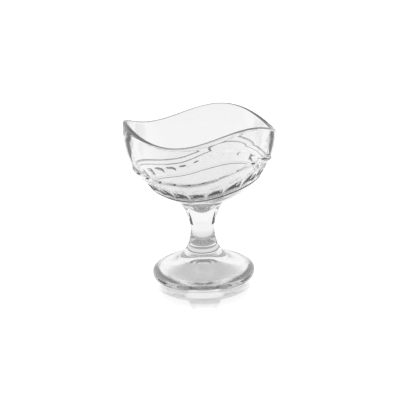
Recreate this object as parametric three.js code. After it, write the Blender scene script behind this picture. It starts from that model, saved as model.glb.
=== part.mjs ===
// Footed dessert cup in clear pressed glass. Millimetres, +Z up, standing on z = 0 with its axis on Z.
// Angles are in degrees, counted from +X towards +Y; the front of the cup is on the -Y side.
import * as THREE from 'three';

// Heights, stacked from the table up: foot, stem, then the bowl from its joint to its widest level.
const FOOT_HEIGHT = 25;
const STEM_LENGTH = 17;
const BOWL_DROP = 57.7;

// Bowl: round outside and in. The inside sits a little lower than the outside, so the wall thins downwards.
// At its bottom a small well reaches into the post.
const BOWL_RADIUS = 49.7;
const WALL = 3.3;
const BOTTOM_DROP = 0.8;
const WELL_RADIUS = 10.5;
const WELL_DEPTH = 6.0;

// Rim: three even waves round the mouth, above the widest level. The lip is a full round.
const RIM_RISE = 4.1;
const RIM_WAVES = 3;
const RIM_WAVE_HEIGHT = 4.6;
const RIM_CREST_ANGLE = 68.6;

// Two wavy lines run round the outside. Each pair is a turning point of the wave:
// the angle round the bowl, and the angle below the widest level.
const UPPER_LINE = [[8, 21.5], [50, 18.5], [116, 34.2], [190, 24.5], [255, 29.5], [325, 14.8]];
const LOWER_LINE = [[30, 36.5], [118, 50.6], [175, 46.5], [248, 55.5], [350, 37.0]];

// Under the upper line the wall steps in to a band. A round bead runs along each edge of the band.
// A bead is given by half its width and its height.
const UPPER_STEP = 0.4;
const UPPER_BEAD = [1.6, 1.2];
const LOWER_BEAD = [0.6, 0.4];
const BAND_DEPTH = 0.6;

// Flutes: upright hollows in the lower part of the band, side by side with a ridge between neighbours.
const FLUTE_COUNT = 21;
const FLUTE_DEPTH = 1.4;
const FLUTE_TOP = 0.85;

// Under the bowl the wall sweeps in to a short post, where the stem is fused on.
const SWEEP_START_ANGLE = 70;
const SWEEP_PULL = 3;
const POST_RADIUS = 9.9;
const POST_FLARE = [1.5, 3.7];

// Stem: a solid column, drawn in at its waist.
const WAIST_RADIUS = 8.07;

// Foot: a neck flares out to a dome with a rounded edge and a flat ring to stand on.
const NECK_RADIUS = 9.05;
const NECK_FLARE = [2.15, 7.7];
const FLARE_FOOT = [16.5, 12.9];
const FLARE_PULL = [1.7, 1.6];
const DOME_PULL = [6.5, 2.9];
const FOOT_RADIUS = 34.4;
const EDGE_HEIGHT = 3.5;
const EDGE_ROUND = 1.4;
const EDGE_PULL = 4.0;
const REST_WIDTH = 5.0;

// Rounded hollow under the foot.
const HOLLOW_DEPTH = 9.0;
const HOLLOW_TIP = 8.0;
const HOLLOW_SKIRT = [20, 5];

// Fineness: columns round each piece, and steps along the parts of its profile.
const BOWL_SEGMENTS = 4 * FLUTE_COUNT;
const STEM_SEGMENTS = 48;
const FOOT_SEGMENTS = 72;
const SWEEP_STEPS = 6;
const SKIRT_STEPS = 4;
const LOWER_BEAD_STEPS = 4;
const FLUTE_STEPS = 12;
const UPPER_BEAD_STEPS = 6;
const WALL_STEPS = 5;
const LIP_STEPS = 6;
const INSIDE_STEPS = 12;
const WELL_STEPS = 6;
const STEM_STEPS = 12;
const HOLLOW_STEPS = 12;
const EDGE_STEPS = 4;
const DOME_STEPS = 12;
const NECK_STEPS = 8;

const STEM_TOP_Z = FOOT_HEIGHT + STEM_LENGTH;
const BOWL_CENTRE_Z = STEM_TOP_Z + BOWL_DROP;
const INNER_RADIUS = BOWL_RADIUS - WALL;
const INNER_CENTRE_Z = BOWL_CENTRE_Z - BOTTOM_DROP;
const LIP_RADIUS = WALL / 2;

const radians = (degrees) => (degrees * Math.PI) / 180;
const SKIRT_LOW_Z = BOWL_CENTRE_Z - BOWL_RADIUS * Math.sin(radians(SWEEP_START_ANGLE));

const point = (r, z) => new THREE.Vector2(r, z);

// Even steps from just after 0 up to 1.
const shares = (count) => Array.from({ length: count }, (_, k) => (k + 1) / count);

// Height of the rim at one angle.
function rimHeight(angle) {
  const wave = Math.cos(radians(RIM_WAVES * (angle - RIM_CREST_ANGLE)));
  return BOWL_CENTRE_Z + RIM_RISE + RIM_WAVE_HEIGHT * wave;
}

// Angle of a line below the widest level: half cosine waves from each turning point to the next.
function lineAngle(turns, angle) {
  const last = turns.length - 1;
  for (let k = 0; k <= last; k += 1) {
    const [startAngle, startDrop] = turns[k];
    const [endAngle, endDrop] = turns[k === last ? 0 : k + 1];
    const span = (endAngle - startAngle + 360) % 360;
    const along = (angle - startAngle + 720) % 360;
    if (along <= span) {
      return startDrop + ((endDrop - startDrop) * (1 - Math.cos((Math.PI * along) / span))) / 2;
    }
  }
  return turns[0][1];
}

// Height of a line at one angle.
function lineHeight(turns, angle) {
  return BOWL_CENTRE_Z - BOWL_RADIUS * Math.sin(radians(lineAngle(turns, angle)));
}

// Point on the outside of the bowl at a height, moved in or out square to the wall.
// Above the widest level the wall is straight.
function outerPoint(z, offset) {
  const below = Math.min(z - BOWL_CENTRE_Z, 0) / BOWL_RADIUS;
  const across = Math.sqrt(1 - below * below);
  return point((BOWL_RADIUS + offset) * across, z + offset * below);
}

// Points over a bead that stands on the band, from below it to above it.
function beadPoints(z, [halfWidth, height], count) {
  return shares(count).map((share) => {
    const turn = Math.PI * share;
    return outerPoint(z - halfWidth * Math.cos(turn), height * Math.sin(turn) - BAND_DEPTH);
  });
}

// Hollow of the flutes: 0 at their ends and on the ridges, 1 in the middle. The share runs up the band.
function fluteHollow(angle, share) {
  const turn = (((angle + 720) % 360) * FLUTE_COUNT) / 360;
  const across = 2 * (turn - Math.floor(turn)) - 1;
  const along = Math.min(1, share / FLUTE_TOP);
  return (1 - across * across) * Math.sin(Math.PI * along) ** 2;
}

// A body of revolution whose profile may change with the angle, always with the same number of points.
function turnedBody(profileAt, segments) {
  const body = new THREE.LatheGeometry(profileAt(0), segments);
  body.rotateX(Math.PI / 2);
  const position = body.attributes.position;
  for (let i = 0; i <= segments; i += 1) {
    const angle = (360 * (i % segments)) / segments;
    const profile = profileAt(angle);
    const across = Math.cos(radians(angle));
    const away = Math.sin(radians(angle));
    profile.forEach((p, j) => {
      position.setXYZ(i * profile.length + j, p.x * across, p.x * away, p.y);
    });
  }
  body.computeVertexNormals();
  return body;
}

// Points along a smooth curve with two end points and two pulls, without its first point.
function sweep(start, pullA, pullB, end, count) {
  const curve = new THREE.CubicBezierCurve(start, pullA, pullB, end);
  return curve.getPoints(count).slice(1);
}

// Outside of the post and the sweep up to the round of the bowl.
function postProfile() {
  const turn = radians(SWEEP_START_ANGLE);
  const top = outerPoint(SKIRT_LOW_Z, -BAND_DEPTH);
  const topPull = point(top.x - SWEEP_PULL * Math.sin(turn), top.y - SWEEP_PULL * Math.cos(turn));
  const joint = point(POST_RADIUS, STEM_TOP_Z);
  const jointPull = point(POST_RADIUS + POST_FLARE[0], STEM_TOP_Z + POST_FLARE[1]);
  return [joint, ...sweep(joint, jointPull, topPull, top, SWEEP_STEPS)];
}

// Outside of the bowl at one angle, from the top of the sweep to the upper line.
function bandProfile(angle) {
  const profile = [];
  const upper = lineHeight(UPPER_LINE, angle);
  const lower = lineHeight(LOWER_LINE, angle);
  const beadZ = upper - UPPER_STEP - UPPER_BEAD[0];
  const bandLow = lower + LOWER_BEAD[0];
  const bandHigh = beadZ - UPPER_BEAD[0];
  for (const share of shares(SKIRT_STEPS)) {
    const z = SKIRT_LOW_Z + (lower - LOWER_BEAD[0] - SKIRT_LOW_Z) * share;
    profile.push(outerPoint(z, -BAND_DEPTH));
  }
  profile.push(...beadPoints(lower, LOWER_BEAD, LOWER_BEAD_STEPS));
  for (const share of shares(FLUTE_STEPS)) {
    const z = bandLow + (bandHigh - bandLow) * share;
    profile.push(outerPoint(z, -BAND_DEPTH - FLUTE_DEPTH * fluteHollow(angle, share)));
  }
  profile.push(...beadPoints(beadZ, UPPER_BEAD, UPPER_BEAD_STEPS));
  profile.push(outerPoint(upper, 0));
  return profile;
}

// Bowl profile at one angle, from the joint face up the outside, over the lip and down the inside.
function bowlProfile(angle) {
  const profile = [point(0, STEM_TOP_Z), ...postProfile(), ...bandProfile(angle)];
  const upper = lineHeight(UPPER_LINE, angle);
  const lipZ = rimHeight(angle) - LIP_RADIUS;
  for (const share of shares(WALL_STEPS)) {
    profile.push(outerPoint(upper + (lipZ - upper) * share, 0));
  }
  const lipCentre = BOWL_RADIUS - LIP_RADIUS;
  for (const share of shares(LIP_STEPS).slice(0, -1)) {
    const turn = Math.PI * share;
    profile.push(point(lipCentre + LIP_RADIUS * Math.cos(turn), lipZ + LIP_RADIUS * Math.sin(turn)));
  }
  const top = Math.acos(Math.max(INNER_CENTRE_Z - lipZ, 0) / INNER_RADIUS);
  const wellTop = Math.asin(WELL_RADIUS / INNER_RADIUS);
  profile.push(point(INNER_RADIUS * Math.sin(top), lipZ));
  for (const share of shares(INSIDE_STEPS)) {
    const turn = top + (wellTop - top) * share;
    profile.push(point(INNER_RADIUS * Math.sin(turn), INNER_CENTRE_Z - INNER_RADIUS * Math.cos(turn)));
  }
  for (const share of shares(WELL_STEPS)) {
    const r = WELL_RADIUS * (1 - share);
    const well = WELL_DEPTH * (1 - (1 - share) ** 2) ** 2;
    profile.push(point(r, INNER_CENTRE_Z - Math.sqrt(INNER_RADIUS ** 2 - r ** 2) - well));
  }
  return profile;
}

// Stem profile, from its lower joint face to its upper one.
function stemProfile() {
  const low = point(NECK_RADIUS, FOOT_HEIGHT);
  const high = point(POST_RADIUS, STEM_TOP_Z);
  const pullRadius = (8 * WAIST_RADIUS - NECK_RADIUS - POST_RADIUS) / 6;
  const pullLow = point(pullRadius, FOOT_HEIGHT + STEM_LENGTH / 3);
  const pullHigh = point(pullRadius, FOOT_HEIGHT + (2 * STEM_LENGTH) / 3);
  const side = sweep(low, pullLow, pullHigh, high, STEM_STEPS);
  return [point(0, FOOT_HEIGHT), low, ...side, point(0, STEM_TOP_Z)];
}

// Foot profile, from the hollow underneath, out round the edge and up to the joint face.
function footProfile() {
  const tip = point(0, HOLLOW_DEPTH);
  const tipPull = point(HOLLOW_TIP, HOLLOW_DEPTH);
  const restOuter = point(FOOT_RADIUS - EDGE_ROUND, 0);
  const restInner = point(restOuter.x - REST_WIDTH, 0);
  const skirtPull = point(restInner.x - HOLLOW_SKIRT[0], HOLLOW_SKIRT[1]);
  const roundPull = point(FOOT_RADIUS - EDGE_ROUND / 4, 0);
  const edge = point(FOOT_RADIUS, EDGE_HEIGHT);
  const edgePullLow = point(FOOT_RADIUS, EDGE_HEIGHT / 2);
  const edgePullHigh = point(FOOT_RADIUS, EDGE_HEIGHT + EDGE_PULL);
  const domeTop = point(FLARE_FOOT[0], FLARE_FOOT[1]);
  const domePull = point(domeTop.x + DOME_PULL[0], domeTop.y - DOME_PULL[1]);
  const flarePull = point(domeTop.x - FLARE_PULL[0], domeTop.y + FLARE_PULL[1]);
  const neck = point(NECK_RADIUS, FOOT_HEIGHT);
  const neckPull = point(NECK_RADIUS + NECK_FLARE[0], FOOT_HEIGHT - NECK_FLARE[1]);
  return [
    tip,
    ...sweep(tip, tipPull, skirtPull, restInner, HOLLOW_STEPS),
    restOuter,
    ...sweep(restOuter, roundPull, edgePullLow, edge, EDGE_STEPS),
    ...sweep(edge, edgePullHigh, domePull, domeTop, DOME_STEPS),
    ...sweep(domeTop, flarePull, neckPull, neck, NECK_STEPS),
    point(0, FOOT_HEIGHT),
  ];
}

// Colourless glass, one material for each piece.
function clearGlass() {
  return new THREE.MeshStandardMaterial({
    color: 0xe6ecec, roughness: 0.05, metalness: 0, transparent: true, opacity: 0.35,
  });
}

function addPiece(group, name, body) {
  const mesh = new THREE.Mesh(body, clearGlass());
  mesh.name = name;
  group.add(mesh);
}

const group = new THREE.Group();
addPiece(group, 'bowl', turnedBody(bowlProfile, BOWL_SEGMENTS));
addPiece(group, 'stem', turnedBody(stemProfile, STEM_SEGMENTS));
addPiece(group, 'foot', turnedBody(footProfile, FOOT_SEGMENTS));
export default group;
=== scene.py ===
# %% [markdown]
# # A footed dessert cup in clear pressed glass
# The cup is a deep round bowl with a wavy rim, a short waisted stem and a domed foot. They are taken
# to be fused while hot, so light passes from one to the next as if they were one body. The packed
# model gives the frame: every piece is made in metres, where its solid stands.

# %% Frame and libraries
import math

import bmesh
import bpy
from mathutils import Euler, Matrix, Vector


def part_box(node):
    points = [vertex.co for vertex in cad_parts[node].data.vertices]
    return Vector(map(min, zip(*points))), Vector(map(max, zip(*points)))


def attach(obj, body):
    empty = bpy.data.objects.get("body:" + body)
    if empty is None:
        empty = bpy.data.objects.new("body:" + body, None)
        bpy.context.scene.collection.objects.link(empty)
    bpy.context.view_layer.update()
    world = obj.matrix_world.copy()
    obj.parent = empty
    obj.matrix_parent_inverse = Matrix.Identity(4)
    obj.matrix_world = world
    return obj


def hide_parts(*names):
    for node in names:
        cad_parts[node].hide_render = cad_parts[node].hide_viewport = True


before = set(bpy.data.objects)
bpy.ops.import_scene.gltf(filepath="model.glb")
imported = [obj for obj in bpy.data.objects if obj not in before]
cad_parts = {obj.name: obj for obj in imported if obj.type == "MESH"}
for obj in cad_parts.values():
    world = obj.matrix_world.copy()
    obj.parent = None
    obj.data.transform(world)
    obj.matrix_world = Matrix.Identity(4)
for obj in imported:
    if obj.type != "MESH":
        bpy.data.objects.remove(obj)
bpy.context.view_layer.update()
MM = 0.001
print("solids in the frame:", sorted(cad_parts))

# %% [markdown]
# ## Sizes
# The big sizes are read from the solids, so the glass always fills them. The two wave lines on the
# bowl are free-hand shapes: each is a short list of turning points, an angle round the bowl and an
# angle below its widest level, joined by half cosine waves.

# %% Sizes in millimetres
bowl_low, bowl_high = [Vector(corner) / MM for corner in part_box("bowl")]
stem_low, stem_high = [Vector(corner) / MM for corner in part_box("stem")]
foot_low, foot_high = [Vector(corner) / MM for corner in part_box("foot")]

NECK_Z = foot_high.z
POST_Z = stem_high.z
BOWL_RADIUS = (bowl_high.y - bowl_low.y) / 2
BOWL_DROP = 57.7
BOWL_CENTRE_Z = POST_Z + BOWL_DROP
WALL = 3.3
BOTTOM_DROP = 0.8
WELL_RADIUS = 10.5
WELL_DEPTH = 6.0
INNER_RADIUS = BOWL_RADIUS - WALL
INNER_CENTRE_Z = BOWL_CENTRE_Z - BOTTOM_DROP
LIP_RADIUS = WALL / 2

RIM_RISE = 4.1
RIM_WAVES = 3
RIM_WAVE_HEIGHT = 4.6
RIM_CREST_ANGLE = 68.6

UPPER_LINE = [(8, 21.5), (50, 18.5), (116, 34.2), (190, 24.5), (255, 29.5), (325, 14.8)]
LOWER_LINE = [(30, 36.5), (118, 50.6), (175, 46.5), (248, 55.5), (350, 37.0)]
UPPER_STEP = 0.4
UPPER_BEAD = (1.6, 1.2)
LOWER_BEAD = (0.6, 0.4)
BAND_DEPTH = 0.6
FLUTE_COUNT = 21
FLUTE_DEPTH = 1.4
FLUTE_TOP = 0.85

SWEEP_START_ANGLE = 70
SWEEP_PULL = 3
POST_RADIUS = (stem_high.x - stem_low.x) / 2
POST_FLARE = (1.5, 3.7)
WAIST_RADIUS = 8.07

NECK_RADIUS = 9.05
NECK_FLARE = (2.15, 7.7)
FLARE_FOOT = (16.5, 12.9)
FLARE_PULL = (1.7, 1.6)
DOME_PULL = (6.5, 2.9)
FOOT_RADIUS = (foot_high.x - foot_low.x) / 2
EDGE_HEIGHT = 3.5
EDGE_ROUND = 1.4
EDGE_PULL = 4.0
REST_WIDTH = 5.0
HOLLOW_DEPTH = 9.0
HOLLOW_TIP = 8.0
HOLLOW_SKIRT = (20, 5)
print("bowl radius %.2f, post radius %.2f, foot radius %.2f" % (BOWL_RADIUS, POST_RADIUS, FOOT_RADIUS))

# %% Fineness: columns round each piece and steps along the parts of its outline
COLUMNS = 16 * FLUTE_COUNT
SWEEP_STEPS = 24
SKIRT_STEPS = 24
LOWER_BEAD_STEPS = 10
FLUTE_STEPS = 48
UPPER_BEAD_STEPS = 12
LEDGE_STEPS = 8
WALL_STEPS = 24
LIP_STEPS = 14
INSIDE_STEPS = 44
WELL_STEPS = 16
STEM_STEPS = 60
HOLLOW_STEPS = 40
EDGE_STEPS = 12
DOME_STEPS = 40
NECK_STEPS = 30
print("columns:", COLUMNS)

# %% [markdown]
# ## Lines that a profile is drawn with
# A pressed piece gets its outside from the mould and its inside from the plunger. Both can be drawn as
# one outline from the axis out and back. Straight runs need no points, so only curves are stepped.

# %% Curves
def ease(share):
    """0 to 1 along a half cosine wave."""
    return (1 - math.cos(math.pi * share)) / 2


def shares(count):
    """Even steps from just after 0 up to 1."""
    return [(k + 1) / count for k in range(count)]


def curve(start, pull_a, pull_b, end, count):
    """Points along a smooth curve with two pulls, without its first point."""
    points = []
    for t in shares(count):
        weights = ((1 - t) ** 3, 3 * t * (1 - t) ** 2, 3 * t * t * (1 - t), t ** 3)
        corners = (start, pull_a, pull_b, end)
        points.append(tuple(sum(w * c[axis] for w, c in zip(weights, corners)) for axis in (0, 1)))
    return points


print("half way along a wave:", ease(0.5))

# %% [markdown]
# ## The bowl's outside
# The mould gave the outside a raised wave line high up, a thinner one low down, and between them a
# ring of upright flutes, side by side, so that a sharp ridge stands between neighbours. The height of
# each line depends on the angle round the bowl, so everything here is a function of that angle.

# %% Heights and offsets on the bowl
def line_height(turns, angle):
    """Height of a wave line at an angle round the bowl."""
    for here, there in zip(turns, turns[1:] + turns[:1]):
        span = (there[0] - here[0]) % 360
        along = (angle - here[0]) % 360
        if along <= span:
            drop = here[1] + (there[1] - here[1]) * ease(along / span)
            return BOWL_CENTRE_Z - BOWL_RADIUS * math.sin(math.radians(drop))
    return BOWL_CENTRE_Z


def rim_height(angle):
    """Height of the rim at an angle round the bowl."""
    wave = math.cos(math.radians(RIM_WAVES * (angle - RIM_CREST_ANGLE)))
    return BOWL_CENTRE_Z + RIM_RISE + RIM_WAVE_HEIGHT * wave


def outer_point(z, offset):
    """A point on the outside of the bowl at a height, moved out square to the wall."""
    below = min(z - BOWL_CENTRE_Z, 0) / BOWL_RADIUS
    across = math.sqrt(1 - below * below)
    return ((BOWL_RADIUS + offset) * across, z + offset * below)


def bead(z, size, count):
    """Points over a raised round line on the band, from below it to above it."""
    half_width, height = size
    points = []
    for share in shares(count):
        turn = math.pi * share
        points.append(outer_point(z - half_width * math.cos(turn), height * math.sin(turn) - BAND_DEPTH))
    return points


def flute_hollow(angle, share):
    """Depth of the flutes: 0 at the ends and on the ridges between them, 1 in the middle of one."""
    across = 2 * ((angle * FLUTE_COUNT / 360) % 1) - 1
    return (1 - across * across) * math.sin(math.pi * min(1, share / FLUTE_TOP)) ** 2


print("rim from %.1f to %.1f mm" % (rim_height(RIM_CREST_ANGLE + 60), rim_height(RIM_CREST_ANGLE)))

# %% [markdown]
# ## Three profiles
# The bowl's outline runs from its joint up the outside, over the rounded lip and down the inside. The
# round of the inside lies a little lower than that of the outside, so the wall thins downwards, and a
# small well dips into the post. The stem is one waisted curve. The foot is taken to have a rounded hollow
# under it, as a bottom plunger leaves one: the table then shows through the dome as a grey lens.

# %% Outside of the bowl
SKIRT_LOW_Z = BOWL_CENTRE_Z - BOWL_RADIUS * math.sin(math.radians(SWEEP_START_ANGLE))


def post_outline():
    """Joint face, post and the sweep up to the round of the bowl."""
    turn = math.radians(SWEEP_START_ANGLE)
    top = outer_point(SKIRT_LOW_Z, -BAND_DEPTH)
    top_pull = (top[0] - SWEEP_PULL * math.sin(turn), top[1] - SWEEP_PULL * math.cos(turn))
    joint = (POST_RADIUS, POST_Z)
    joint_pull = (POST_RADIUS + POST_FLARE[0], POST_Z + POST_FLARE[1])
    return [(0, POST_Z), joint] + curve(joint, joint_pull, top_pull, top, SWEEP_STEPS)


def band_outline(angle):
    """Skirt, lower line, flutes, upper line and the step above it, at one angle."""
    upper = line_height(UPPER_LINE, angle)
    lower = line_height(LOWER_LINE, angle)
    skirt_high = lower - LOWER_BEAD[0]
    bead_z = upper - UPPER_STEP - UPPER_BEAD[0]
    band_low = lower + LOWER_BEAD[0]
    band_high = bead_z - UPPER_BEAD[0]
    points = []
    for share in shares(SKIRT_STEPS):
        points.append(outer_point(SKIRT_LOW_Z + (skirt_high - SKIRT_LOW_Z) * share, -BAND_DEPTH))
    points += bead(lower, LOWER_BEAD, LOWER_BEAD_STEPS)
    for share in shares(FLUTE_STEPS):
        depth = BAND_DEPTH + FLUTE_DEPTH * flute_hollow(angle, share)
        points.append(outer_point(band_low + (band_high - band_low) * share, -depth))
    points += bead(bead_z, UPPER_BEAD, UPPER_BEAD_STEPS)
    for share in shares(LEDGE_STEPS):
        points.append(outer_point(upper + UPPER_STEP * (share - 1), BAND_DEPTH * (share - 1)))
    return points


print("points in the band:", len(band_outline(0)))

# %% Lip and inside of the bowl
def lip_outline(lip_z):
    """Half round over the lip."""
    points = []
    for share in shares(LIP_STEPS)[:-1]:
        turn = math.pi * share
        r = BOWL_RADIUS - LIP_RADIUS + LIP_RADIUS * math.cos(turn)
        points.append((r, lip_z + LIP_RADIUS * math.sin(turn)))
    return points


def inside_outline(lip_z):
    """Inside of the bowl from the lip down to the bottom of the well."""
    top = math.acos(max(INNER_CENTRE_Z - lip_z, 0) / INNER_RADIUS)
    well_top = math.asin(WELL_RADIUS / INNER_RADIUS)
    points = [(INNER_RADIUS * math.sin(top), lip_z)]
    for share in shares(INSIDE_STEPS):
        turn = top + (well_top - top) * share
        points.append((INNER_RADIUS * math.sin(turn), INNER_CENTRE_Z - INNER_RADIUS * math.cos(turn)))
    for share in shares(WELL_STEPS):
        r = WELL_RADIUS * (1 - share)
        well = WELL_DEPTH * (1 - (1 - share) ** 2) ** 2
        points.append((r, INNER_CENTRE_Z - math.sqrt(INNER_RADIUS ** 2 - r * r) - well))
    return points


def bowl_profile(angle):
    """Bowl from the joint up the outside, over the lip and down the inside, at one angle."""
    upper = line_height(UPPER_LINE, angle)
    lip_z = rim_height(angle) - LIP_RADIUS
    wall = [outer_point(upper + (lip_z - upper) * share, 0) for share in shares(WALL_STEPS)]
    return post_outline() + band_outline(angle) + wall + lip_outline(lip_z) + inside_outline(lip_z)


print("points in the bowl's outline:", len(bowl_profile(0)))

# %% Stem and foot profiles
def stem_profile(angle):
    """Stem from its lower joint to its upper one."""
    length = POST_Z - NECK_Z
    pull = (8 * WAIST_RADIUS - NECK_RADIUS - POST_RADIUS) / 6
    low, high = (NECK_RADIUS, NECK_Z), (POST_RADIUS, POST_Z)
    pull_low, pull_high = (pull, NECK_Z + length / 3), (pull, NECK_Z + 2 * length / 3)
    return [(0, NECK_Z), low] + curve(low, pull_low, pull_high, high, STEM_STEPS) + [(0, POST_Z)]


def foot_profile(angle):
    """Foot from the hollow underneath, out round the edge and up to the joint."""
    rest_outer = (FOOT_RADIUS - EDGE_ROUND, 0)
    rest_inner = (rest_outer[0] - REST_WIDTH, 0)
    round_pull = (FOOT_RADIUS - EDGE_ROUND / 4, 0)
    edge = (FOOT_RADIUS, EDGE_HEIGHT)
    edge_low = (FOOT_RADIUS, EDGE_HEIGHT / 2)
    edge_pull = (FOOT_RADIUS, EDGE_HEIGHT + EDGE_PULL)
    dome_pull = (FLARE_FOOT[0] + DOME_PULL[0], FLARE_FOOT[1] - DOME_PULL[1])
    flare_pull = (FLARE_FOOT[0] - FLARE_PULL[0], FLARE_FOOT[1] + FLARE_PULL[1])
    neck = (NECK_RADIUS, NECK_Z)
    neck_pull = (NECK_RADIUS + NECK_FLARE[0], NECK_Z - NECK_FLARE[1])
    skirt = (rest_inner[0] - HOLLOW_SKIRT[0], HOLLOW_SKIRT[1])
    points = [(0, HOLLOW_DEPTH)]
    points += curve(points[0], (HOLLOW_TIP, HOLLOW_DEPTH), skirt, rest_inner, HOLLOW_STEPS)
    points.append(rest_outer)
    points += curve(rest_outer, round_pull, edge_low, edge, EDGE_STEPS)
    points += curve(edge, edge_pull, dome_pull, FLARE_FOOT, DOME_STEPS)
    points += curve(FLARE_FOOT, flare_pull, neck_pull, neck, NECK_STEPS)
    return points + [(0, NECK_Z)]


print("points in the stem and foot outlines:", len(stem_profile(0)), len(foot_profile(0)))

# %% [markdown]
# ## Turning
# A turned body is a spun outline. The bowl is not quite a turned body, because its rim, lines and flutes
# change with the angle. So the outline is spun first, each point remembers its place along the outline
# in a layer, and then each column of points is moved to the outline of its own angle. Faces that lie in
# a joint get a second material, because the real glass has no surface there. The underside of the foot
# gets a third one, because it rubs on tables.

# %% Turned pieces
SEAM_SLOT = 1
UNDER_SLOT = 2
SAME_POINT = 1e-4
SAME_HEIGHT = 1e-3


def spun_outline(outline):
    """The outline spun round the axis, and the layer that holds each point's place along it."""
    bm = bmesh.new()
    station = bm.verts.layers.int.new("station")
    verts = [bm.verts.new((r, 0, z)) for r, z in outline]
    for k, vert in enumerate(verts):
        vert[station] = k
    edges = [bm.edges.new(pair) for pair in zip(verts, verts[1:])]
    bmesh.ops.spin(
        bm, geom=verts + edges, cent=(0, 0, 0), axis=(0, 0, 1), dvec=(0, 0, 0),
        angle=math.tau, steps=COLUMNS, use_merge=True,
    )
    bmesh.ops.remove_doubles(bm, verts=bm.verts, dist=SAME_POINT)
    return bm, station


def turned_piece(name, profile_at, seams, under=0):
    """Spins a profile round the axis, then moves each point to the profile of its own angle."""
    bm, station = spun_outline(profile_at(0))
    columns = [profile_at(360 * k / COLUMNS) for k in range(COLUMNS)]
    for vert in bm.verts:
        turn = math.atan2(vert.co.y, vert.co.x) % math.tau
        column = round(turn / math.tau * COLUMNS) % COLUMNS
        r, z = columns[column][vert[station]]
        vert.co = (r * math.cos(turn), r * math.sin(turn), z)
    bmesh.ops.recalc_face_normals(bm, faces=bm.faces)
    for face in bm.faces:
        face.smooth = True
        if any(all(abs(v.co.z - z) < SAME_HEIGHT for v in face.verts) for z in seams):
            face.material_index = SEAM_SLOT
        elif all(v[station] <= under for v in face.verts):
            face.material_index = UNDER_SLOT
    for edge in bm.edges:
        edge.smooth = len({face.material_index for face in edge.link_faces}) == 1
    bmesh.ops.scale(bm, vec=(MM, MM, MM), verts=bm.verts)
    mesh = bpy.data.meshes.new(name)
    bm.to_mesh(mesh)
    bm.free()
    piece = bpy.data.objects.new(name, mesh)
    bpy.context.scene.collection.objects.link(piece)
    print(name, len(mesh.vertices), "vertices", len(mesh.polygons), "faces")
    return piece


bowl = turned_piece("glass_bowl", bowl_profile, [POST_Z])
stem = turned_piece("glass_stem", stem_profile, [NECK_Z, POST_Z])
foot = turned_piece("glass_foot", foot_profile, [NECK_Z], HOLLOW_STEPS + 1)
for piece, node in ((bowl, "bowl"), (stem, "stem"), (foot, "foot")):
    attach(piece, "root")
    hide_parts(node)

# %% [markdown]
# ## Helpers for shader nodes
# Glass, table and room are all built from a few small steps: a level that changes over a range, a sum on
# two values, and a value that is different for the camera. A number is set on its socket, and a socket is
# linked.

# %% Node helpers
def feed(tree, socket, value):
    """Sets a plain number on a socket, or links another socket to it."""
    if isinstance(value, (int, float)):
        socket.default_value = value
    else:
        tree.links.new(value, socket)


def value_range(tree, source, span, levels, kind="LINEAR"):
    """A level that goes from one value to another while its source crosses a range."""
    node = tree.nodes.new("ShaderNodeMapRange")
    node.interpolation_type = kind
    for name, value in zip(("From Min", "From Max", "To Min", "To Max"), (*span, *levels)):
        feed(tree, node.inputs[name], value)
    feed(tree, node.inputs["Value"], source)
    return node.outputs["Result"]


def join(tree, operation, first, second):
    """One math node on two values."""
    node = tree.nodes.new("ShaderNodeMath")
    node.operation = operation
    feed(tree, node.inputs[0], first)
    feed(tree, node.inputs[1], second)
    return node.outputs[0]


def seen_as(tree, path, camera, others):
    """One value for the camera's own rays and another for all other rays."""
    node = tree.nodes.new("ShaderNodeMix")
    feed(tree, node.inputs["Factor"], path.outputs["Is Camera Ray"])
    feed(tree, node.inputs["A"], others)
    feed(tree, node.inputs["B"], camera)
    return node.outputs["Result"]


print("node helpers ready")

# %% [markdown]
# ## Glass
# Pressed glass is clear but its skin is never perfect: the cooling mould leaves slow ripples, use leaves
# a faint haze, and the melt is very slightly uneven in tint. One node group makes all three from noise in
# object space, and each glass material sets its own amounts: the foot's underside is the dullest.

# %% Pressed skin
RIPPLE_DETAIL = 1
RIPPLE_DISTANCE = 0.0005
HAZE_SCALE = 240
HAZE_DETAIL = 4
HAZE_RANGE = (0.5, 0.8)
MELT_SCALE = 30
PALE_TINT = (1, 1, 1, 1)
DEEP_TINT = (0.975, 0.975, 0.975, 1)


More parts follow.
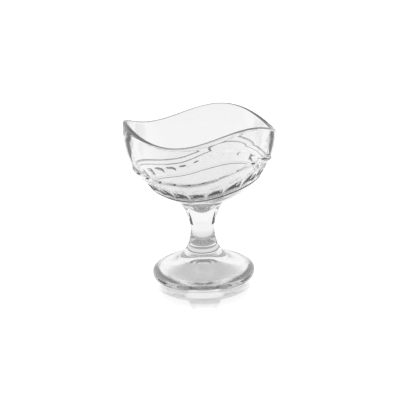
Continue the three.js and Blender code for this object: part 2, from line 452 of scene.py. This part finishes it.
def pressed_skin():
    """Node group: slow ripples, a faint haze and a slightly uneven tint."""
    group = bpy.data.node_groups.new("pressed_skin", "ShaderNodeTree")
    for name in ("Ripple Scale", "Ripple Height", "Haze", "Dullness"):
        group.interface.new_socket(name, in_out="INPUT", socket_type="NodeSocketFloat")
    group.interface.new_socket("Tint", in_out="OUTPUT", socket_type="NodeSocketColor")
    group.interface.new_socket("Roughness", in_out="OUTPUT", socket_type="NodeSocketFloat")
    group.interface.new_socket("Normal", in_out="OUTPUT", socket_type="NodeSocketVector")
    nodes, links = group.nodes, group.links
    inputs = nodes.new("NodeGroupInput")
    outputs = nodes.new("NodeGroupOutput")
    place = nodes.new("ShaderNodeTexCoord")

    ripple = nodes.new("ShaderNodeTexNoise")
    ripple.inputs["Detail"].default_value = RIPPLE_DETAIL
    bump = nodes.new("ShaderNodeBump")
    bump.inputs["Distance"].default_value = RIPPLE_DISTANCE
    links.new(place.outputs["Object"], ripple.inputs["Vector"])
    links.new(inputs.outputs["Ripple Scale"], ripple.inputs["Scale"])
    links.new(inputs.outputs["Ripple Height"], bump.inputs["Strength"])
    links.new(ripple.outputs["Fac"], bump.inputs["Height"])
    links.new(bump.outputs["Normal"], outputs.inputs["Normal"])

    haze = nodes.new("ShaderNodeTexNoise")
    haze.inputs["Scale"].default_value = HAZE_SCALE
    haze.inputs["Detail"].default_value = HAZE_DETAIL
    links.new(place.outputs["Object"], haze.inputs["Vector"])
    amounts = (inputs.outputs["Dullness"], inputs.outputs["Haze"])
    patchy = value_range(group, haze.outputs["Fac"], HAZE_RANGE, amounts)
    links.new(patchy, outputs.inputs["Roughness"])

    melt = nodes.new("ShaderNodeTexNoise")
    melt.inputs["Scale"].default_value = MELT_SCALE
    tint = nodes.new("ShaderNodeMix")
    tint.data_type = "RGBA"
    tint.inputs["A"].default_value = PALE_TINT
    tint.inputs["B"].default_value = DEEP_TINT
    links.new(place.outputs["Object"], melt.inputs["Vector"])
    links.new(melt.outputs["Fac"], tint.inputs["Factor"])
    links.new(tint.outputs["Result"], outputs.inputs["Tint"])
    return group


skin = pressed_skin()
print("node group:", skin.name)

# %% [markdown]
# ## Light that stays in the glass
# Light can run round inside the wall and be mirrored many times before it leaves. The renderer drops it
# after a few mirrorings, and the lip would turn black. So where a ray has been mirrored often and meets
# a full mirror again, and only there, the material hands out a low level of its own, more in the lip
# than in the bowl below it.

# %% Glass materials
GLASS_IOR = 1.51
MIRRORED_OFTEN = 3.5
FULL_MIRROR = 0.9
LIP_RANGE = (0.074, 0.084)
BOWL_TRAPPED = (0.05, 0.1)
STEM_TRAPPED = (0.15, 0.15)
FOOT_TRAPPED = (0.2, 0.2)
UNDER_DULL = 0.12
UNDER_HAZE = 0.22


def clear_glass(name, ripple_scale, ripple_height, haze, trapped, dullness=0):
    """Clear glass with its own ripple, finish and levels of trapped light low down and high up."""
    material = bpy.data.materials.new(name)
    material.use_nodes = True
    tree = material.node_tree
    nodes, links = tree.nodes, tree.links
    shader = nodes["Principled BSDF"]
    shader.inputs["IOR"].default_value = GLASS_IOR
    shader.inputs["Transmission Weight"].default_value = 1
    surface = nodes.new("ShaderNodeGroup")
    surface.node_tree = skin
    surface.inputs["Ripple Scale"].default_value = ripple_scale
    surface.inputs["Ripple Height"].default_value = ripple_height
    surface.inputs["Dullness"].default_value = dullness
    surface.inputs["Haze"].default_value = haze
    links.new(surface.outputs["Tint"], shader.inputs["Base Color"])
    links.new(surface.outputs["Roughness"], shader.inputs["Roughness"])
    links.new(surface.outputs["Normal"], shader.inputs["Normal"])

    path = nodes.new("ShaderNodeLightPath")
    mirror = nodes.new("ShaderNodeFresnel")
    mirror.inputs["IOR"].default_value = GLASS_IOR
    place = nodes.new("ShaderNodeTexCoord")
    split = nodes.new("ShaderNodeSeparateXYZ")
    links.new(place.outputs["Object"], split.inputs["Vector"])
    often = join(tree, "GREATER_THAN", path.outputs["Glossy Depth"], MIRRORED_OFTEN)
    full = join(tree, "GREATER_THAN", mirror.outputs["Fac"], FULL_MIRROR)
    dropped = join(tree, "MULTIPLY", often, full)
    level = value_range(tree, split.outputs["Z"], LIP_RANGE, trapped)
    links.new(join(tree, "MULTIPLY", dropped, level), shader.inputs["Emission Color"])
    shader.inputs["Emission Strength"].default_value = 1
    material.cycles.emission_sampling = "NONE"
    return material


def fused_seam():
    """No surface at all, for the faces where two pieces run into each other."""
    material = bpy.data.materials.new("fused_seam")
    material.use_nodes = True
    shader = material.node_tree.nodes["Principled BSDF"]
    shader.inputs["Alpha"].default_value = 0
    return material


bowl_clear = clear_glass("bowl_clear", ripple_scale=70, ripple_height=0.05, haze=0.008, trapped=BOWL_TRAPPED)
stem_clear = clear_glass("stem_clear", ripple_scale=110, ripple_height=0.05, haze=0.004, trapped=STEM_TRAPPED)
foot_clear = clear_glass("foot_clear", ripple_scale=90, ripple_height=0.08, haze=0.012, trapped=FOOT_TRAPPED)
foot_under = clear_glass(
    "foot_underside", ripple_scale=150, ripple_height=0.1, haze=UNDER_HAZE, trapped=FOOT_TRAPPED,
    dullness=UNDER_DULL,
)
seam = fused_seam()
for piece, finishes in (
    (bowl, (bowl_clear, seam)),
    (stem, (stem_clear, seam)),
    (foot, (foot_clear, seam, foot_under)),
):
    for finish in finishes:
        piece.data.materials.append(finish)
    print(piece.name, [material.name for material in piece.data.materials])

# %% [markdown]
# ## Table
# The cup stands on a white glossy light table. Most of its white comes from inside it, a part is paint
# that keeps the cup's shadow, and the polish on top shows the foot upside down. For the camera the table
# is an even white, apart from a painted shadow in front of the foot, where its glow is turned down, and its
# mirror fades out there. Through the glass its glow is turned down close to the cup and on the camera's
# side: painted shade for the cup's own shadow and for the darker room on that side. It lies a hair below
# the foot, so that the glass still ends in air and mirrors light inside as real glass on a table does.

# %% Sheets of the studio
def stage_grid(name, width, height):
    """A flat rectangle for the studio, made lying at the origin."""
    bm = bmesh.new()
    bmesh.ops.create_grid(bm, x_segments=1, y_segments=1, size=0.5)
    bmesh.ops.scale(bm, vec=(width, height, 1), verts=bm.verts)
    mesh = bpy.data.meshes.new(name)
    bm.to_mesh(mesh)
    bm.free()
    sheet = bpy.data.objects.new(name, mesh)
    bpy.context.scene.collection.objects.link(sheet)
    print(name, "%.2f by %.2f m" % (width, height))
    return sheet


# %% Floor
FLOOR_GAP = 0.0001
FLOOR_SIZE = 6
# Painted shade: the table's glow, as light through the glass sees it, is turned down near the cup and on the
# camera's side.
PAINTED_SHADE_RADIUS = 0.1
PAINTED_SHADE_LEVEL = 0.6
TABLE_LEVEL = 1.45
BACKGROUND_LEVEL = 1.75
FRONT_SHADE_RANGE = (-0.14, 0.02)
FRONT_SHADE_LEVEL = 0.2
# Painted shadow: for the camera the table's glow is turned down round this place in front of the foot; the
# mirror fades out round it too.
CONTACT_PLACE = (0, -0.03, 0)
PAINTED_SHADOW_RANGE = (0.012, 0.042)
PAINTED_SHADOW_LEVEL = 1.25
PAINT_COLOUR = (0.9, 0.9, 0.9, 1)
PAINT_SHARE = 0.3
POLISH_ROUGHNESS = 0.06
POLISH_SHARE = 0.55
MIRROR_RANGE = (0.026, 0.039)


def layered(tree, under, over, share):
    """A shader with a share of another one over it."""
    node = tree.nodes.new("ShaderNodeMixShader")
    feed(tree, node.inputs["Fac"], share)
    tree.links.new(under, node.inputs[1])
    tree.links.new(over, node.inputs[2])
    return node.outputs[0]


def light_table():
    """White light from inside, turned down in places as painted shade, some white paint and a clear polish.
    """
    material = bpy.data.materials.new("light_table")
    material.use_nodes = True
    tree = material.node_tree
    nodes, links = tree.nodes, tree.links
    nodes.clear()
    out = nodes.new("ShaderNodeOutputMaterial")
    path = nodes.new("ShaderNodeLightPath")
    place = nodes.new("ShaderNodeTexCoord")
    away = nodes.new("ShaderNodeVectorMath")
    away.operation = "LENGTH"
    near = nodes.new("ShaderNodeVectorMath")
    near.operation = "DISTANCE"
    near.inputs[1].default_value = CONTACT_PLACE
    split = nodes.new("ShaderNodeSeparateXYZ")
    for node in (away, near, split):
        links.new(place.outputs["Object"], node.inputs[0])

    # Painted shade: the glow that light through the glass sees is turned down near the cup and towards the
    # camera's side.
    painted_cup_shade = (PAINTED_SHADE_LEVEL, TABLE_LEVEL)
    shade = value_range(tree, away.outputs["Value"], (0, PAINTED_SHADE_RADIUS), painted_cup_shade, "SMOOTHSTEP")
    front = value_range(tree, split.outputs["Y"], FRONT_SHADE_RANGE, (FRONT_SHADE_LEVEL, 1), "SMOOTHSTEP")
    # Painted shadow: the glow that the camera sees is turned down just in front of the foot.
    painted_shadow_levels = (PAINTED_SHADOW_LEVEL, BACKGROUND_LEVEL)
    painted_foot_shadow = value_range(tree, near.outputs["Value"], PAINTED_SHADOW_RANGE, painted_shadow_levels, "SMOOTHSTEP")
    fade = value_range(tree, near.outputs["Value"], MIRROR_RANGE, (POLISH_SHARE, 0), "SMOOTHSTEP")

    # The glow's strength carries the painted shade for light through the glass and the painted shadow for the
    # camera.
    glow = nodes.new("ShaderNodeEmission")
    links.new(seen_as(tree, path, painted_foot_shadow, join(tree, "MULTIPLY", shade, front)), glow.inputs["Strength"])
    paint = nodes.new("ShaderNodeBsdfDiffuse")
    paint.inputs["Color"].default_value = PAINT_COLOUR
    polish = nodes.new("ShaderNodeBsdfGlossy")
    polish.inputs["Roughness"].default_value = POLISH_ROUGHNESS
    painted = layered(tree, glow.outputs[0], paint.outputs[0], PAINT_SHARE)
    polished = layered(tree, painted, polish.outputs[0], seen_as(tree, path, fade, POLISH_SHARE))
    links.new(polished, out.inputs["Surface"])
    return material


floor = stage_grid("floor", FLOOR_SIZE, FLOOR_SIZE)
floor.location.z = -FLOOR_GAP
floor.data.materials.append(light_table())

# %% [markdown]
# ## Dark cards
# Clear glass in front of white has no outline of its own. Photographers stand black cards just outside
# the picture, behind the glass to the left and right, and the thick wall bends them into dark lines.

# %% Cards
CARD_DISTANCE = 0.18
CARD_HEIGHT = 0.12
LEFT_CARD = (-0.8, -0.13)
RIGHT_CARD = (0.13, 0.8)
CARD_COLOUR = (0.02, 0.02, 0.02, 1)
CARD_ROUGHNESS = 0.9


def dark_card(name, span):
    """A standing black card that only light through the glass can see."""
    card = stage_grid(name, span[1] - span[0], CARD_HEIGHT)
    card.location = (sum(span) / 2, CARD_DISTANCE, CARD_HEIGHT / 2)
    card.rotation_euler = (math.radians(90), 0, 0)
    card.visible_camera = False
    card.visible_diffuse = False
    card.visible_glossy = False
    card.visible_shadow = False
    material = bpy.data.materials.new(name)
    material.use_nodes = True
    shader = material.node_tree.nodes["Principled BSDF"]
    shader.inputs["Base Color"].default_value = CARD_COLOUR
    shader.inputs["Roughness"].default_value = CARD_ROUGHNESS
    card.data.materials.append(material)
    return card


dark_card("card_left", LEFT_CARD)
dark_card("card_right", RIGHT_CARD)

# %% [markdown]
# ## Room
# The backdrop and the sides of the light tent are white, the roof is dark, and the room on the camera's
# side is grey: that is what the lip and the flutes mirror. The camera sees plain white everywhere. The
# glass doesn't, because with white on every side it would lose its dark lines.

# %% World
WALL_RANGE = (-0.5, 0.2)
ROOM_LEVEL = 0.5
BACK_LEVEL = 1
ROOF_RANGE = (0.58, 0.68)
ROOF_LEVEL = 0.3

world = bpy.data.worlds.new("studio")
bpy.context.scene.world = world
world.use_nodes = True
tree = world.node_tree
place = tree.nodes.new("ShaderNodeTexCoord")
split = tree.nodes.new("ShaderNodeSeparateXYZ")
path = tree.nodes.new("ShaderNodeLightPath")
tree.links.new(place.outputs["Generated"], split.inputs["Vector"])
walls = value_range(tree, split.outputs["Y"], WALL_RANGE, (ROOM_LEVEL, BACK_LEVEL))
roof = value_range(tree, split.outputs["Z"], ROOF_RANGE, (1, ROOF_LEVEL))
room = join(tree, "MULTIPLY", walls, roof)
level = join(tree, "MAXIMUM", room, path.outputs["Is Camera Ray"])
tree.links.new(level, tree.nodes["Background"].inputs["Color"])
print("world:", world.name)

# %% [markdown]
# ## Camera
# A long lens from a little above the rim, with the slight roll of the photograph.

# %% Camera
CAMERA_PLACE = (0.0, -0.61927, 0.24215)
CAMERA_PITCH = 17.055
CAMERA_HEADING = 0.1
CAMERA_ROLL = -1.8
CAMERA_LENS = 87.64
SENSOR_WIDTH = 36
camera_data = bpy.data.cameras.new("camera")
camera = bpy.data.objects.new("camera", camera_data)
bpy.context.scene.collection.objects.link(camera)
camera_data.lens = CAMERA_LENS
camera_data.sensor_width = SENSOR_WIDTH
camera.location = CAMERA_PLACE
aim = Euler((math.radians(90 - CAMERA_PITCH), 0, math.radians(CAMERA_HEADING))).to_matrix()
camera.rotation_euler = (aim @ Matrix.Rotation(math.radians(CAMERA_ROLL), 3, "Z")).to_euler()
camera_data.dof.use_dof = False
bpy.context.scene.camera = camera
bpy.context.scene.view_settings.view_transform = "Standard"
print("camera at", CAMERA_PLACE)
